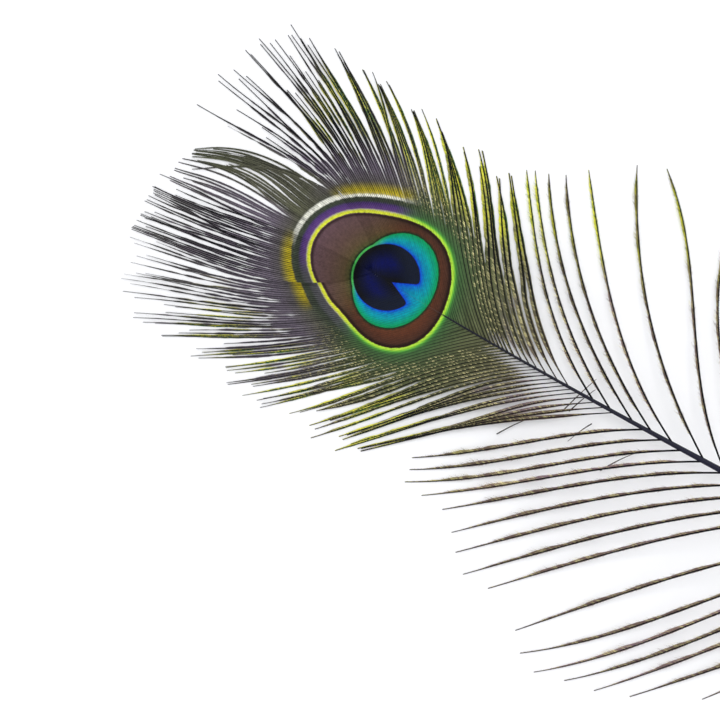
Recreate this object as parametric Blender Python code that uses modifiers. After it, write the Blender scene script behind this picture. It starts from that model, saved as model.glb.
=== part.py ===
"""Peacock eye feather, lying face up on a flat surface.

Metres, +Z up. The feather lies along X with its tip at -X and the quill at +X, its bright
face up, and the box around it is centred on the origin with its underside at Z = 0.

Lengths below are in millimetres from the middle of the eye: x runs down the shaft towards
the quill, y out to the right-hand side seen from above (+Y). Angles are in degrees, taken
from the direction of the tip and opening outwards on each side of the shaft.
"""

from collections import namedtuple

import bmesh
import bpy
import numpy as np

MM = 0.001

# ---- Driving dimensions ------------------------------------------------------------------
SHAFT_TIP = -3.0            # the shaft dies out just past the middle of the eye
QUILL_END = 233.0
SHAFT_RADIUS = ((SHAFT_TIP, 0.22), (20.0, 0.42), (60.0, 0.68), (100.0, 0.98), (150.0, 1.35),
                (205.0, 1.7), (226.0, 1.6), (231.0, 1.25), (QUILL_END, 0.7))
SHAFT_SEGMENTS = 34
BOW = 0.00022               # sideways sweep of the shaft, per mm
BOW_CENTRE = 48.0
BOW_OFFSET = -1.2
ARCH_HEIGHT = 7.0           # the shaft lifts off the surface between the eye and the quill
ARCH_START = 20.0

VANE_THICKNESS = 0.5        # a zipped sheet of barbs
GAP = 0.3                   # clearance between pieces that touch on the real feather
SPLIT = 1.1                 # extra width of the slit between two locks at their tips
LOCK_ALONG = 9              # grid steps of a lock, from shaft to tip and across
LOCK_ACROSS = 3
BARB_RADIUS = (0.42, 0.40, 0.24)   # a loose barb with its fluff, at root, middle and tip
BARB_SEGMENTS = 8
HANDLE = 0.36               # reach of a barb's end directions, as a share of its chord

# A barb: where it leaves the shaft, its angle there, where its tip lies, its angle there.
Barb = namedtuple("Barb", "root leave tip_x tip_y arrive")

# Edges of the locks that fan out from the eye. Each inner list is one unbroken run.
RIGHT_LOCKS = [
    [Barb(-5.2, -50, -65, -22, -10), Barb(-4.9, 4, -66, -7, -2), Barb(-4.6, 58, -61, 4, -28)],
    [Barb(-4.2, 60, -66, 14, 0), Barb(2.0, 46, -65, 34, 16), Barb(8.0, 50, -55, 46, 28),
     Barb(15.0, 46, -37, 45, 32), Barb(22.0, 42, -25, 45, 33), Barb(29.0, 38, -14, 43, 36),
     Barb(37.0, 33, -2, 43, 40), Barb(46.0, 29, 8, 41, 47), Barb(56.0, 27, 15, 42, 53)],
]
LEFT_LOCKS = [
    [Barb(-4.8, 52, -64, -25, 12), Barb(1.0, 56, -61, -36, 23), Barb(7.0, 54, -53, -42, 28),
     Barb(13.5, 52, -40, -43, 31), Barb(20.5, 48, -27, -44, 34), Barb(28.0, 41, -17, -45, 39),
     Barb(37.0, 34, -6, -45, 43), Barb(47.0, 33, 3, -46, 46), Barb(58.0, 34, 11, -45.5, 46),
     Barb(69.0, 32, 17, -42, 40)],
]

# Loose barbs beside the eye, each placed by hand.
RIGHT_FRONT = [
    Barb(61.5, 27, 17.0, 42.5, 54), Barb(66.5, 28, 19.0, 43.5, 55), Barb(73.0, 28, 22.5, 44.5, 57),
    Barb(78.5, 27, 26.5, 46.5, 57), Barb(84.6, 26, 31.0, 50.5, 52), Barb(93.5, 32, 41.3, 57.8, 62),
    Barb(99.5, 36, 48.5, 60.8, 38), Barb(110.0, 38, 70.0, 57.0, 78),
]
LEFT_FRONT = [
    Barb(76.5, 30, 28.0, -37.2, 32), Barb(82.0, 30, 29.0, -40.2, 30), Barb(87.6, 30, 29.5, -43.6, 29),
    Barb(93.6, 29, 35.0, -44.5, 34), Barb(99.7, 28, 41.5, -45.0, 38), Barb(106.0, 30, 46.5, -49.0, 43),
    Barb(112.0, 31, 50.0, -53.0, 44), Barb(118.0, 32, 54.5, -57.0, 45), Barb(124.0, 33, 62.0, -57.0, 46),
    Barb(137.0, 34, 73.5, -63.0, 48), Barb(144.0, 36, 77.5, -67.5, 36), Barb(148.5, 36, 83.0, -70.0, 38),
    Barb(154.0, 37, 91.0, -68.0, 40), Barb(160.0, 38, 99.0, -66.5, 46),
]
# Guides for the loose barbs further down, which are read from them with some scatter.
RIGHT_GUIDES = [Barb(119.0, 36, 70.0, 64.0, 57), Barb(160.0, 40, 112.0, 56.0, 54),
                Barb(205.0, 42, 178.0, 27.0, 48)]
LEFT_GUIDES = [Barb(168.0, 39, 109.0, -62.0, 47), Barb(205.0, 44, 176.0, -28.0, 50)]
RIGHT_REAR = 11
LEFT_REAR = 6
ROOT_JITTER = 0.8
TIP_JITTER = 2.0
WAVE = 1.0                  # sideways wander of a rear barb along its length


# ---- Small numeric helpers ---------------------------------------------------------------
def smooth(low, high, value):
    """0 below low, 1 above high, eased between."""
    t = np.clip((value - low) / (high - low), 0.0, 1.0)
    return t * t * (3.0 - 2.0 * t)


def scatter(index, salt):
    """A repeatable number between -1 and 1 for barb number index."""
    value = np.sin(index * 12.9898 + salt * 78.233) * 43758.5453
    return 2.0 * (value - np.floor(value)) - 1.0


# ---- The feather's geometry --------------------------------------------------------------
def shaft_radius(x):
    stations, radii = zip(*SHAFT_RADIUS)
    return float(np.interp(x, stations, radii))


def shaft_y(x):
    return BOW * (x - BOW_CENTRE) ** 2 + BOW_OFFSET


def rise(x):
    """Height of the shaft's underside above the surface."""
    share = np.clip((x - ARCH_START) / (QUILL_END - ARCH_START), 0.0, 1.0)
    return ARCH_HEIGHT * np.sin(np.pi * share) ** 2


def barb_path(barb, side, steps, start=0.0):
    """Points (x, y) of a barb from the shaft to its tip, as a Bezier curve."""
    root = np.array([barb.root, shaft_y(max(barb.root, SHAFT_TIP))])
    tip = np.array([barb.tip_x, barb.tip_y])
    reach = HANDLE * np.hypot(*(tip - root))
    leave, arrive = np.radians([barb.leave, barb.arrive])
    first = root + reach * np.array([-np.cos(leave), side * np.sin(leave)])
    second = tip - reach * np.array([-np.cos(arrive), side * np.sin(arrive)])
    u = np.linspace(start, 1.0, steps)[:, None]
    v = 1.0 - u
    return v ** 3 * root + 3 * v * v * u * first + 3 * v * u * u * second + u ** 3 * tip


def clear_of_shaft(barb):
    """Share of a barb's length that is spent getting clear of the shaft."""
    chord = np.hypot(barb.tip_x - barb.root, barb.tip_y)
    wall = shaft_radius(barb.root) + GAP
    return wall / max(np.sin(np.radians(abs(barb.leave))), 0.45) / chord


def height(root, share, resting):
    """Height of a barb's middle line: at the shaft's side, then easing to the surface."""
    side_wall = (shaft_radius(root) - shaft_radius(ARCH_START)) * smooth(ARCH_START, 60.0, root)
    top = resting + rise(root) + 1.1 * max(side_wall, 0.0)
    return resting + (top - resting) * (0.5 + 0.5 * np.cos(np.pi * share))


def rear_barbs(guides, count, salt):
    """The last barbs of one side, read from its guides with natural scatter."""
    columns = list(zip(*guides))
    barbs = []
    for index, root in enumerate(np.linspace(columns[0][0], columns[0][-1], count)):
        barb = Barb(*(np.interp(root, columns[0], column) for column in columns))
        reach = TIP_JITTER * np.sign(barb.tip_y)
        barbs.append(barb._replace(root=root + ROOT_JITTER * scatter(index, salt),
                                   tip_x=barb.tip_x + TIP_JITTER * scatter(index, salt + 1),
                                   tip_y=barb.tip_y + reach * scatter(index, salt + 2)))
    return barbs


def wander(path, index, salt):
    """Bends a barb gently from side to side, leaving its root where it is."""
    along = np.linspace(0.0, 1.0, len(path))
    step = np.gradient(path, axis=0)
    normal = np.stack([-step[:, 1], step[:, 0]], axis=1) / np.hypot(*step.T)[:, None]
    swing = np.sin(2.0 * np.pi * along * (0.9 + 0.3 * scatter(index, salt))) * along
    return path + normal * (WAVE * scatter(index, salt + 1) * swing)[:, None]


# ---- Building in Blender -----------------------------------------------------------------
def clear_scene():
    for item in list(bpy.data.objects):
        bpy.data.objects.remove(item, do_unlink=True)


def material(name, colour, roughness, metallic):
    made = bpy.data.materials.new(name)
    made.use_nodes = True
    shader = made.node_tree.nodes["Principled BSDF"]
    shader.inputs["Base Color"].default_value = (*colour, 1.0)
    shader.inputs["Roughness"].default_value = roughness
    shader.inputs["Metallic"].default_value = metallic
    return made


def add_tube(name, points, radii, look, collection):
    """A closed round rod through points in millimetres, with its own radius at each."""
    data = bpy.data.curves.new(name, "CURVE")
    data.dimensions = "3D"
    data.bevel_depth = MM
    data.bevel_resolution = 2
    data.use_fill_caps = True
    spline = data.splines.new("POLY")
    spline.points.add(len(points) - 1)
    for point, place, radius in zip(spline.points, points, radii):
        point.co = (*(MM * value for value in place), 1.0)
        point.radius = radius
    data.materials.append(look)
    made = bpy.data.objects.new(name, data)
    collection.objects.link(made)
    return made


def add_shaft(look, collection):
    x = np.linspace(SHAFT_TIP, QUILL_END, SHAFT_SEGMENTS + 1)
    x[-2] = QUILL_END - 2.0
    radii = [shaft_radius(value) for value in x]
    points = [(value, shaft_y(value), radius + rise(value)) for value, radius in zip(x, radii)]
    return add_tube("shaft", points, radii, look, collection)


def add_lock(name, first, second, side, look, collection):
    """One lock of zipped barbs: a thin sheet between two barbs, from the shaft to the tips."""
    sheet = bmesh.new()
    bmesh.ops.create_grid(sheet, x_segments=LOCK_ALONG, y_segments=LOCK_ACROSS, size=1.0)
    start = max(clear_of_shaft(first), clear_of_shaft(second))
    edges = [barb_path(barb, side, LOCK_ALONG + 1, start) for barb in (first, second)]
    along = np.linspace(start, 1.0, LOCK_ALONG + 1)
    sheet.verts.ensure_lookup_table()
    for vert in sheet.verts:
        step = int(round((vert.co.x + 1.0) / 2.0 * LOCK_ALONG))
        across = (vert.co.y + 1.0) / 2.0
        a, b = edges[0][step], edges[1][step]
        width = np.hypot(*(b - a))
        inset = (0.5 * GAP + 0.5 * SPLIT * along[step] ** 2) / width
        share = inset + (1.0 - 2.0 * inset) * across
        x, y = a + (b - a) * share
        root = first.root + (second.root - first.root) * share
        vert.co = (MM * x, MM * y, MM * height(root, along[step], 0.5 * VANE_THICKNESS))
    bmesh.ops.recalc_face_normals(sheet, faces=sheet.faces)
    mesh = bpy.data.meshes.new(name)
    sheet.to_mesh(mesh)
    sheet.free()
    mesh.materials.append(look)
    made = bpy.data.objects.new(name, mesh)
    collection.objects.link(made)
    solid = made.modifiers.new("thickness", "SOLIDIFY")
    solid.thickness = VANE_THICKNESS * MM
    solid.offset = 0.0
    return made


def add_loose_barb(name, barb, path, look, collection):
    shares = np.linspace(0.0, 1.0, BARB_SEGMENTS + 1)
    radii = np.interp(shares, (0.0, 0.5, 1.0), BARB_RADIUS)
    points = [(*place, height(barb.root, share, radius))
              for place, share, radius in zip(path, shares, radii)]
    return add_tube(name, points, radii, look, collection)


def centre_on_origin(objects, collection):
    """Moves the whole feather so that the box around it is centred and stands on Z = 0."""
    bpy.context.view_layer.update()
    graph = bpy.context.evaluated_depsgraph_get()
    corners = []
    for item in objects:
        mesh = item.evaluated_get(graph).to_mesh()
        places = np.empty(len(mesh.vertices) * 3, dtype=np.float32)
        mesh.vertices.foreach_get("co", places)
        places = places.reshape(-1, 3)
        corners += [places.min(axis=0), places.max(axis=0)]
        item.evaluated_get(graph).to_mesh_clear()
    low, high = np.min(corners, axis=0), np.max(corners, axis=0)
    middle = (low + high) / 2.0
    holder = bpy.data.objects.new("feather_place", None)
    collection.objects.link(holder)
    holder.location = (-middle[0], -middle[1], -low[2])
    for item in objects:
        item.parent = holder


def build():
    clear_scene()
    feather = bpy.data.collections.new("peacock_feather")
    bpy.context.scene.collection.children.link(feather)
    horn = material("dark_horn", (0.03, 0.03, 0.06), 0.35, 0.0)
    eye = material("eye_sheet", (0.10, 0.22, 0.10), 0.45, 0.3)
    fluff = material("olive_barb", (0.07, 0.08, 0.04), 0.6, 0.1)
    pieces = [add_shaft(horn, feather)]
    for side, label, runs in ((1, "right", RIGHT_LOCKS), (-1, "left", LEFT_LOCKS)):
        number = 0
        for run in runs:
            for first, second in zip(run, run[1:]):
                number += 1
                pieces.append(add_lock(f"{label}_lock_{number:02d}", first, second, side, eye,
                                       feather))
    for label, front, guides, count, salt in (
            ("right", RIGHT_FRONT, RIGHT_GUIDES, RIGHT_REAR, 1),
            ("left", LEFT_FRONT, LEFT_GUIDES, LEFT_REAR, 7)):
        for index, barb in enumerate(front + rear_barbs(guides, count, salt)):
            side = np.sign(barb.tip_y)
            path = barb_path(barb, side, BARB_SEGMENTS + 1, clear_of_shaft(barb))
            if index >= len(front):
                path = wander(path, index, salt + 3)
            pieces.append(add_loose_barb(f"{label}_barb_{index + 1:02d}", barb, path, fluff,
                                         feather))
    centre_on_origin(pieces, feather)


build()
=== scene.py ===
# %% [markdown]
# # A peacock's eye feather
# A tail feather lies face up on a pale table. The lesson dresses the plain CAD frame: one dark
# shaft, more than two hundred barbs that leave it on both sides, and many thousands of
# barbules that hang from the barbs. Barbules hold the colour and give the feather its soft
# edge, so they are modelled and not only painted.

import math
from collections import namedtuple

import bpy
import numpy as np
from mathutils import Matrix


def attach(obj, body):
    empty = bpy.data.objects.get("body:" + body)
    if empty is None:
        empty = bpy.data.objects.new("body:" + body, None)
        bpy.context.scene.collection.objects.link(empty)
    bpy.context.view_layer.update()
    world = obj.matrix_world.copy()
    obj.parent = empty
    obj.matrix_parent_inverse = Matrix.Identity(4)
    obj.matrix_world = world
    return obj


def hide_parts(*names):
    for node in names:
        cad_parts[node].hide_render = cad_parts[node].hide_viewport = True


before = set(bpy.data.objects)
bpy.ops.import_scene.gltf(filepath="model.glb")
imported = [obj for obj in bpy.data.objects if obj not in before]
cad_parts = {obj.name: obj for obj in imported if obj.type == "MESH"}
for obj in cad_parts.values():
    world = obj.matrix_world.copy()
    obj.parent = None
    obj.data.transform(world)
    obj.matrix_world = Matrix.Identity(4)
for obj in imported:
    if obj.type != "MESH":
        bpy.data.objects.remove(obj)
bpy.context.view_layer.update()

# %% [markdown]
# The feather is measured in millimetres from the middle of its eye. X runs down the shaft to
# the quill, and Y is positive on the right-hand side of a viewer who looks from the quill to
# the tip. The frame is centred on its own box, so the shaft's thin end tells where the eye is.

# %% Where the eye's middle lies in the frame
MM = 0.001
SHAFT_TIP, QUILL_END = -3.0, 233.0
BOW, BOW_CENTRE, BOW_OFFSET = 0.00022, 48.0, -1.2
ARCH_HEIGHT, ARCH_START = 7.0, 20.0
SHAFT_RADIUS = ((SHAFT_TIP, 0.22), (20.0, 0.42), (60.0, 0.68), (100.0, 0.98), (150.0, 1.35),
                (205.0, 1.7), (226.0, 1.6), (231.0, 1.25), (QUILL_END, 0.7))


def shaft_radius(x):
    return np.interp(x, *zip(*SHAFT_RADIUS))


def shaft_y(x):
    return BOW * (x - BOW_CENTRE) ** 2 + BOW_OFFSET


def rise(x):
    """Height of the shaft's underside above the table: it arches between its two ends."""
    share = np.clip((x - ARCH_START) / (QUILL_END - ARCH_START), 0.0, 1.0)
    return ARCH_HEIGHT * np.sin(np.pi * share) ** 2


shaft_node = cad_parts["shaft"]
shaft_points = np.array([v.co for v in shaft_node.data.vertices])
thin_end = shaft_points[shaft_points[:, 0] < shaft_points[:, 0].min() + 0.2 * MM].mean(axis=0)
EYE = np.array([thin_end[0] - SHAFT_TIP * MM, thin_end[1] - shaft_y(SHAFT_TIP) * MM, 0.0])
print("eye's middle:", np.round(1000 * EYE, 2), "mm")

# %% [markdown]
# A barb is one curve: where it leaves the shaft, at which angle, where its tip comes down and
# at which angle it arrives there. It could be a line of many points, but a cubic curve with two
# handles is enough for so plain a bow. These are the frame's own curves, so that the barbs lie
# where the solids that they replace lie.

# %% The curves of the barbs
# The length of a curve's two handles, as a share of the way from root to tip.
HANDLE = 0.36
Barb = namedtuple("Barb", "root leave tip_x tip_y arrive")

# Edges of the locks, from the tip down the shaft.
RIGHT_LOCKS = [
    [Barb(-5.2, -50, -65, -22, -10), Barb(-4.9, 4, -66, -7, -2), Barb(-4.6, 58, -61, 4, -28)],
    [Barb(-4.2, 60, -66, 14, 0), Barb(2.0, 46, -65, 34, 16), Barb(8.0, 50, -55, 46, 28),
     Barb(15.0, 46, -37, 45, 32), Barb(22.0, 42, -25, 45, 33), Barb(29.0, 38, -14, 43, 36),
     Barb(37.0, 33, -2, 43, 40), Barb(46.0, 29, 8, 41, 47), Barb(56.0, 27, 15, 42, 53)],
]
LEFT_LOCKS = [
    [Barb(-4.8, 52, -64, -25, 12), Barb(1.0, 56, -61, -36, 23), Barb(7.0, 54, -53, -42, 28),
     Barb(13.5, 52, -40, -43, 31), Barb(20.5, 48, -27, -44, 34), Barb(28.0, 41, -17, -45, 39),
     Barb(37.0, 34, -6, -45, 43), Barb(47.0, 33, 3, -46, 46), Barb(58.0, 34, 11, -45.5, 46),
     Barb(69.0, 32, 17, -42, 40)],
]
# The loose barbs, of which the last ones are read from a few guides.
RIGHT_FRONT = [
    Barb(61.5, 27, 17.0, 42.5, 54), Barb(66.5, 28, 19.0, 43.5, 55), Barb(73.0, 28, 22.5, 44.5, 57),
    Barb(78.5, 27, 26.5, 46.5, 57), Barb(84.6, 26, 31.0, 50.5, 52), Barb(93.5, 32, 41.3, 57.8, 62),
    Barb(99.5, 36, 48.5, 60.8, 38), Barb(110.0, 38, 70.0, 57.0, 78),
]
LEFT_FRONT = [
    Barb(76.5, 30, 28.0, -37.2, 32), Barb(82.0, 30, 29.0, -40.2, 30), Barb(87.6, 30, 29.5, -43.6, 29),
    Barb(93.6, 29, 35.0, -44.5, 34), Barb(99.7, 28, 41.5, -45.0, 38), Barb(106.0, 30, 46.5, -49.0, 43),
    Barb(112.0, 31, 50.0, -53.0, 44), Barb(118.0, 32, 54.5, -57.0, 45), Barb(124.0, 33, 62.0, -57.0, 46),
    Barb(137.0, 34, 73.5, -63.0, 48), Barb(144.0, 36, 77.5, -67.5, 36), Barb(148.5, 36, 83.0, -70.0, 38),
    Barb(154.0, 37, 91.0, -68.0, 40), Barb(160.0, 38, 99.0, -66.5, 46),
]
RIGHT_GUIDES = [Barb(119.0, 36, 70.0, 64.0, 57), Barb(160.0, 40, 112.0, 56.0, 54),
                Barb(205.0, 42, 178.0, 27.0, 48)]
LEFT_GUIDES = [Barb(168.0, 39, 109.0, -62.0, 47), Barb(205.0, 44, 176.0, -28.0, 50)]
RIGHT_REAR, LEFT_REAR = 11, 6
ROOT_JITTER, TIP_JITTER, WAVE = 0.8, 2.0, 1.0


def smooth(low, high, value):
    """0 below low, 1 above high, eased between."""
    t = np.clip((value - low) / (high - low), 0.0, 1.0)
    return t * t * (3.0 - 2.0 * t)


def scatter(index, salt):
    """A repeatable number between -1 and 1 for barb number index."""
    value = np.sin(index * 12.9898 + salt * 78.233) * 43758.5453
    return 2.0 * (value - np.floor(value)) - 1.0


def barb_path(barb, side, u):
    """Points (x, y) of a barb at shares u of its curve, from the shaft to its tip."""
    root = np.array([barb.root, shaft_y(max(barb.root, SHAFT_TIP))])
    tip = np.array([barb.tip_x, barb.tip_y])
    reach = HANDLE * np.hypot(*(tip - root))
    leave, arrive = np.radians([barb.leave, barb.arrive])
    first = root + reach * np.array([-np.cos(leave), side * np.sin(leave)])
    second = tip - reach * np.array([-np.cos(arrive), side * np.sin(arrive)])
    u = u[:, None]
    v = 1.0 - u
    return v ** 3 * root + 3 * v * v * u * first + 3 * v * u * u * second + u ** 3 * tip


def height(root, share, resting):
    """Height of a barb's middle line: at the shaft's side, then easing to the table."""
    side_wall = (shaft_radius(root) - shaft_radius(ARCH_START)) * smooth(ARCH_START, 60.0, root)
    top = resting + rise(root) + 1.1 * np.maximum(side_wall, 0.0)
    return resting + (top - resting) * (0.5 + 0.5 * np.cos(np.pi * share))


def rear_barbs(guides, count, salt):
    """The last barbs of one side, read from its guides with natural scatter."""
    columns = list(zip(*guides))
    barbs = []
    for index, root in enumerate(np.linspace(columns[0][0], columns[0][-1], count)):
        barb = Barb(*(np.interp(root, columns[0], column) for column in columns))
        reach = TIP_JITTER * np.sign(barb.tip_y)
        barbs.append(barb._replace(root=root + ROOT_JITTER * scatter(index, salt),
                                   tip_x=barb.tip_x + TIP_JITTER * scatter(index, salt + 1),
                                   tip_y=barb.tip_y + reach * scatter(index, salt + 2)))
    return barbs


def left_of(path):
    """Unit vectors square to a line of points (x, y), to its left."""
    step = np.gradient(path, axis=0)
    step /= np.hypot(*step.T)[:, None]
    return np.stack([-step[:, 1], step[:, 0]], axis=1)


def wander(path, index, salt):
    """Bends a barb gently from side to side, leaving its root where it is."""
    along = np.linspace(0.0, 1.0, len(path))
    swing = np.sin(2.0 * np.pi * along * (0.9 + 0.3 * scatter(index, salt))) * along
    return path + left_of(path) * (WAVE * scatter(index, salt + 1) * swing)[:, None]


print("edges of locks:", sum(len(run) for run in RIGHT_LOCKS + LEFT_LOCKS))

# %% [markdown]
# A strand is a barb ready for modelling: its middle line in three dimensions, how thick its
# stem is along the way, and how far its barbules reach to the tip side and to the quill side.
# The yellow rim of the eye is an egg, written as a circle with three waves. How far a barb has
# come past the rim decides how it looks there.

# %% Strands, and the rim of the eye
Strand = namedtuple("Strand", "points stem tipward quillward side tone length")

EYE_STEPS, LOOSE_STEPS, BROKEN_STEPS = 44, 40, 12
LOCK_REST, LOOSE_REST = 0.25, 0.3
RIM_CENTRE, RIM_RADIUS = -1.5, 17.94
RIM_WAVES = ((-0.16, 0.29), (1.69, -0.64), (-1.28, -0.24))


def rim_distance(x, y):
    """Distance in mm outside the rim."""
    dx = x - RIM_CENTRE
    r, t = np.hypot(dx, y), np.arctan2(y, dx)
    return r - RIM_RADIUS - sum(a * np.cos(k * t) + b * np.sin(k * t)
                                for k, (a, b) in enumerate(RIM_WAVES, 1))


def make_strand(path, z, stem, tipward, quillward, side, tone):
    return Strand(np.column_stack([path, z]), stem, tipward, quillward, side, tone,
                  np.hypot(*np.diff(path, axis=0).T).sum())


def ripple(u, rng, waves):
    """Smooth noise between about -1 and 1 along a strand."""
    return sum(np.sin(w * u + rng.uniform(0.0, 6.3)) for w in waves) / len(waves) ** 0.7


print("the rim reaches", round(-rim_distance(RIM_CENTRE, 0.0), 1), "mm down the shaft")

# %% [markdown]
# A lock is a run of barbs between two edges. Close to the shaft its barbs lie side by side,
# and their barbules are zipped to the next barb, so their reach is half the distance between
# barbs. Past the eye the barbs draw together in bundles; their barbules are short there, leave
# gaps and are torn in places. Hair could be grown for this, but it wouldn't keep to the edges
# of a lock, so each barb is worked out with seeded random numbers.

# %% The barbs of a lock
# Spacing is in mm. Bundled is the share by which barbs draw together, and crowd is how hard
# they press toward the second edge. In a parted lock each barb joins the nearer edge instead.
Lock = namedtuple("Lock", "first second side spacing bundled crowd parted")
BUNDLE_SIZES = (2, 6)
TORN_WAVES, RAGGED_WAVES = (23, 41, 67), (150, 233)
# How far a barb may be out of its even place, as a share of the spacing. Then, for strays and
# for the others, how far a barb sways and how high it lifts, in mm.
JITTER, STRAY_SHARE = 0.4, 0.3
STRAY_SWAY, SWAY, STRAY_LIFT, LIFT = 2.4, 1.1, 0.30, 0.06


def clump_places(places, rng):
    """The middle of the bundle that each barb of a lock leans to, and how long that bundle
    is, as a share of the lock's length."""
    goals, ends, begin = places.copy(), np.ones(len(places)), 0
    while begin < len(places):
        end = begin + rng.integers(*BUNDLE_SIZES)
        goals[begin:end] = places[begin:end].mean() + rng.normal(0.0, 0.3) * (places[0] * 2)
        ends[begin:end] = 1.0 - 0.12 * rng.random() ** 2
        begin = end
    return goals, ends


def across(lock, place, goal, wide, u):
    """Where a barb lies between the edges of its lock, from 0 to 1, all along its way."""
    begin = 0.45 - 0.3 * wide * (lock.side < 0)
    pull = smooth(0.36, 0.62, u) if lock.parted else lock.bundled * smooth(begin, begin + 0.5, u)
    share = place + (goal - place) * pull
    if lock.crowd:
        share = 1.0 - np.clip(1.0 - share, 0.0, 1.0) ** (1.0 + lock.crowd * smooth(0.4, 0.9, u))
    return share


def barbule_reach(lock, root, half, wide, u):
    """How far barbules reach to the tip side and to the quill side: half way to the next barb
    while they are zipped, then their own free length, which tapers to the barb's end. Down
    the shaft a barb is bare by its root."""
    taper = 1.0 - 0.85 * smooth(0.74 + 0.1 * lock.bundled, 1.0, u)
    thin = (0.3 if lock.side > 0 else 0.6) * (1.0 - 0.8 * lock.bundled)
    thin = thin * (1.0 - 0.7 * smooth(4.0, 16.0, root)) * (lock.crowd == 0.0)
    open_out = 1.0 - thin * smooth(0.4, 0.72, u)
    opens = 0.13 + 0.14 * smooth(44.0, 56.0, root)
    bare = 1.0 - 0.85 * smooth(20.0, 46.0, root) * (1.0 - smooth(0.03, opens, u))
    zipped = (1.12 + 0.4 * (1.0 - smooth(0.02, 0.12, u))) * half * bare
    zipped = zipped * (1.0 - 0.24 * smooth(38.0, 56.0, root))
    full = 0.66 + 1.0 * wide + 0.5 * (lock.crowd > 0.0)
    tipward = np.minimum(zipped * (1 + 0.35 * wide), full * open_out * taper)
    quillward = np.minimum(zipped * (1 - 0.35 * wide), (0.46 + 0.1 * wide) * open_out * taper)
    return tipward, quillward


def left_whole(lock, root, u, rng):
    """The share of the barbules that is left where the free part of a barb is torn."""
    worn = smooth(0.4, 0.52, u) * (1 - 0.6 * lock.bundled) * (1 - 0.6 * smooth(4.0, 16.0, root))
    return 1.0 - worn * (lock.crowd == 0.0) * np.clip(1.3 * ripple(u, rng, TORN_WAVES), 0, 0.85)


def stem_radius(lock, bold, wide, u):
    """Stems are finest in the locks at the feather's tip, and bolder where they are free."""
    free = 0.09 + 0.035 * lock.side - 0.05 * (lock.first.root < -4.5)
    stem = (0.07 + free * bold + 0.07 * wide) * (1.0 - 0.5 * smooth(0.6, 1.0, u))
    return stem * (0.4 if lock.parted or lock.crowd else 1.0)


def lock_strands(lock, seed):
    """The barbs between the two edges of a lock. A few of them stray from their neighbours.
    Wide grows from 0 to 1 as barbs are set farther apart, and such barbs are fuller."""
    rng = np.random.default_rng(seed)
    u = np.linspace(0.0, 1.0, EYE_STEPS + 1)
    one, two = barb_path(lock.first, lock.side, u), barb_path(lock.second, lock.side, u)
    normal = left_of((one + two) / 2.0)
    width = np.abs(((two - one) * normal).sum(axis=1))
    count = max(2, int(round(width[EYE_STEPS * 2 // 5] / lock.spacing)))
    wide = float(smooth(0.75, 1.2, lock.spacing))
    places = (np.arange(count) + 0.5) / count
    strands = []
    for start, goal, end in zip(places, *clump_places(places, rng)):
        place = start + JITTER * rng.uniform(-1, 1) / count * smooth(0.36, 0.56, u)
        share = across(lock, place, round(start) if lock.parted else goal, wide, u)
        path = one + (two - one) * share[:, None]
        end = 1.0 + lock.bundled * (end - 1.0) - (0.3 - 0.27 * lock.bundled) * rng.random() ** 3
        stray = rng.random() < STRAY_SHARE * (1.0 - lock.bundled)
        sway = (STRAY_SWAY if stray else SWAY - 0.9 * lock.bundled) * rng.normal()
        sway = sway * smooth(0.42, 1.0, u)
        path = path + normal * (sway * np.sin(2.4 * u + rng.uniform(0, 6)))[:, None]
        reached = u * end
        path = np.stack([np.interp(reached, u, path[:, k]) for k in (0, 1)], axis=1)
        root = lock.first.root + (lock.second.root - lock.first.root) * start
        lift = (STRAY_LIFT if stray else LIFT) * rng.random() * smooth(0.4, 0.6, u)
        z = height(root, reached, LOCK_REST) + lift
        outside = rim_distance(path[:, 0], path[:, 1])
        free = smooth(4.5, 9.0, outside) * smooth(0.3, 0.6, u)
        bold = smooth(4.5, 8.0 + 14.0 * (1.0 - wide), outside) * smooth(0.3, 0.6, u)
        half = 0.5 * np.interp(reached, u, width) / count
        tipward, quillward = barbule_reach(lock, root, half, wide, u)
        whole = left_whole(lock, root, u, rng)
        ragged = 1.0 + free * 0.14 * ripple(u, rng, RAGGED_WAVES)
        strands.append(make_strand(path, z, stem_radius(lock, bold, wide, u),
                                   tipward * ragged * whole, quillward * ragged * whole,
                                   lock.side, rng.uniform(-1, 1)))
    return strands


# %% [markdown]
# Down the shaft the barbs stand free of each other. Their barbules keep their full length from
# near the root almost to the end. A few broken barbs, nearly bare, lie across the others.

# %% Loose and broken barbs
BROKEN = [((55.8, -7.7, 1.6), (59.2, 4.0, 3.4)), ((57.4, -6.6, 1.5), (60.4, 1.6, 3.2)),
          ((72.0, -16.0, 1.2), (78.0, -7.0, 2.6)), ((64.0, -6.5, 2.6), (61.0, -13.5, 1.0)),
          ((44.0, -21.0, 1.1), (50.5, -12.0, 1.3))]
# Radius of the stem at the root and what it loses to the end, in mm.
LOOSE_STEM, BROKEN_STEM = (0.25, 0.16), (0.15, 0.09)
BROKEN_REACH, BROKEN_BOW, BROKEN_TONE = 0.26, 0.5, 0.5


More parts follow.
